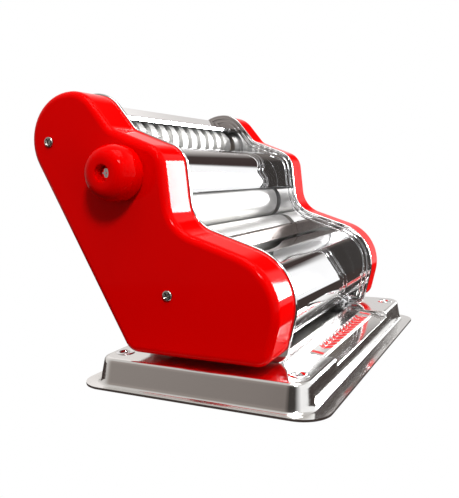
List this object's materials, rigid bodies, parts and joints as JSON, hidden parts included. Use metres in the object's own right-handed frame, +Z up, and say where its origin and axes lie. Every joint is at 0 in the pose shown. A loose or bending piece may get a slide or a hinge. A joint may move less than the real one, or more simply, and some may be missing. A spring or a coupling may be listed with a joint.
{
  "type": "pasta roller machine",
  "caption": "Hand-cranked pasta machine with stepped smooth, wide-cutting and fine-cutting roller stations between red-covered side plates on a pressed steel tray.",
  "frame": {"origin": "on the table, at the centre of the tray's four foot holes", "axes": "+X along the rollers towards the crank side, -Y towards the front where dough is fed in, +Z up"},
  "size_m": [0.2412, 0.1715, 0.1585],
  "materials": {
    "red_enamel": "gloss",
    "badge_red": "gloss",
    "chromed_steel": "polished",
    "stainless_steel": "satin",
    "plain_steel": "satin",
    "roller_metal": "satin",
    "bush_bronze": "satin",
    "black_rubber": "matt"
  },
  "bodies": {
    "frame": {"base_tray": "stainless_steel", "tray_eyelets": "stainless_steel", "rubber_feet": "black_rubber", "badge_plate": "badge_red", "left_side_plate": "chromed_steel", "right_side_plate": "chromed_steel", "plate_screws": "plain_steel", "left_cover": "red_enamel", "right_cover": "red_enamel", "left_cover_posts": "plain_steel", "right_cover_posts": "plain_steel", "cover_screws": "chromed_steel", "tie_rods": "plain_steel", "tie_rod_nuts": "plain_steel", "pivot_rod": "plain_steel", "pivot_clips": "plain_steel", "lift_springs": "plain_steel", "left_bushes": "bush_bronze", "right_bushes": "bush_bronze", "top_guard": "chromed_steel", "middle_guard": "chromed_steel", "lower_guard": "chromed_steel", "roller_scraper": "stainless_steel", "wide_combs": "stainless_steel", "fine_combs": "stainless_steel", "index_ring": "plain_steel"},
    "gap_arms": {"left_swing_arm": "plain_steel", "right_swing_arm": "plain_steel", "arm_bushes": "bush_bronze"},
    "upper_smooth": {"upper_smooth_roller": "roller_metal", "upper_smooth_gear": "plain_steel"},
    "lower_smooth": {"lower_smooth_roller": "roller_metal", "lower_smooth_gear": "plain_steel"},
    "upper_wide": {"upper_wide_roller": "roller_metal", "upper_wide_gear": "plain_steel"},
    "lower_wide": {"lower_wide_roller": "roller_metal", "lower_wide_gear": "plain_steel"},
    "rear_fine": {"rear_fine_roller": "roller_metal", "rear_fine_gear": "plain_steel"},
    "front_fine": {"front_fine_roller": "roller_metal", "front_fine_gear": "plain_steel"},
    "regulator": {"regulator_shaft": "plain_steel", "gap_cams": "plain_steel", "knob_spring": "plain_steel", "knob_screw": "chromed_steel"},
    "knob": {"thickness_knob": "red_enamel"}
  },
  "joints": [
    {"name": "knob_turn", "type": "hinge", "parent": "frame", "child": "regulator", "pos_m": [0, 0.043, 0.114], "axis": [1, 0, 0], "range_deg": [0, 324]},
    {"name": "knob_pull", "type": "slide", "parent": "regulator", "child": "knob", "axis": [-1, 0, 0], "range_m": [0, 0.004], "stiffness_N_per_m": 600, "springref_m": -0.002},
    {"name": "gap_swing", "type": "hinge", "parent": "frame", "child": "gap_arms", "pos_m": [0, 0.0655, 0.079], "axis": [-1, 0, 0], "range_deg": [0, 8.3]},
    {"name": "smooth_drive_spin", "type": "hinge", "parent": "frame", "child": "lower_smooth", "pos_m": [0, 0.0283, 0.0682], "axis": [1, 0, 0], "continuous": true},
    {"name": "smooth_upper_spin", "type": "hinge", "parent": "gap_arms", "child": "upper_smooth", "pos_m": [0, 0.0415, 0.092], "axis": [1, 0, 0], "continuous": true},
    {"name": "wide_drive_spin", "type": "hinge", "parent": "frame", "child": "lower_wide", "pos_m": [0, 0.07, 0.1095], "axis": [1, 0, 0], "continuous": true},
    {"name": "wide_upper_spin", "type": "hinge", "parent": "frame", "child": "upper_wide", "pos_m": [0, 0.078, 0.134], "axis": [1, 0, 0], "continuous": true},
    {"name": "fine_drive_spin", "type": "hinge", "parent": "frame", "child": "rear_fine", "pos_m": [0, 0.008, 0.0475], "axis": [1, 0, 0], "continuous": true},
    {"name": "fine_front_spin", "type": "hinge", "parent": "frame", "child": "front_fine", "pos_m": [0, -0.0128, 0.035], "axis": [1, 0, 0], "continuous": true}
  ],
  "couplings": [
    {"joint": "gap_swing", "follows": "knob_turn", "ratio": 0.025309},
    {"joint": "smooth_upper_spin", "follows": "smooth_drive_spin", "ratio": -1},
    {"joint": "wide_upper_spin", "follows": "wide_drive_spin", "ratio": -1},
    {"joint": "fine_front_spin", "follows": "fine_drive_spin", "ratio": -1}
  ]
}
